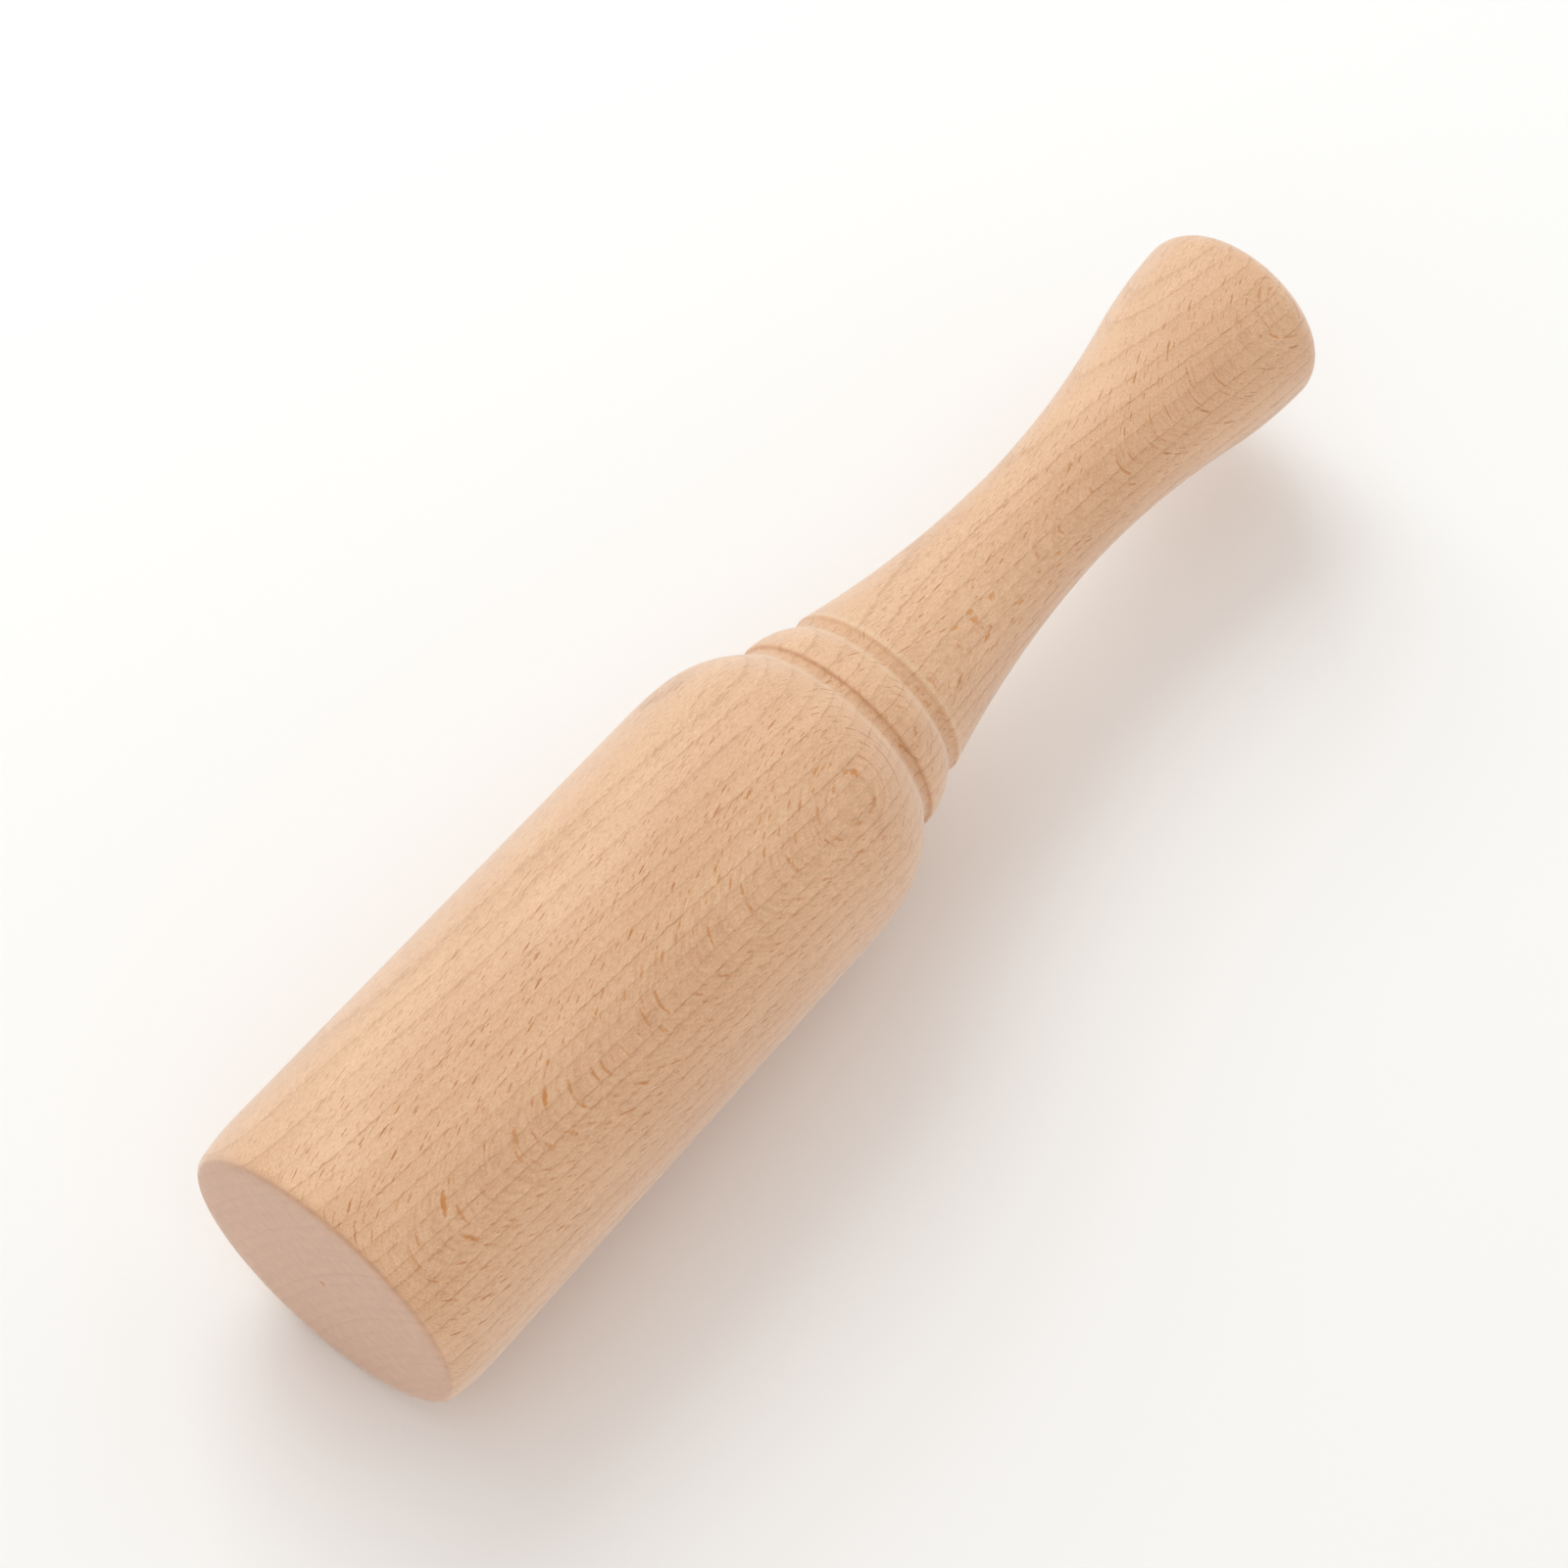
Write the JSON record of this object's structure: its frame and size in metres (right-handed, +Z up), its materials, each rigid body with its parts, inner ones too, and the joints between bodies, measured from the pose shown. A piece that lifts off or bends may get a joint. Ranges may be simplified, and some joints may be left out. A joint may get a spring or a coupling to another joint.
{
  "type": "muddler",
  "caption": "Bar muddler turned from one piece of beech: a broad head with a flat tamping face and a domed shoulder, a bead between grooves, and a waisted handle that flares to a rounded end.",
  "frame": {"origin": "on the surface the muddler lies on, below the middle of its length", "axes": "+X along the lathe axis from the tamping face towards the handle's end, +Z up, away from the surface it lies on, +Y across"},
  "size_m": [0.2362, 0.0554, 0.0553],
  "materials": {
    "beech": "sanded, unfinished"
  },
  "bodies": {
    "root": {"turned_body": "beech"}
  },
  "joints": []
}
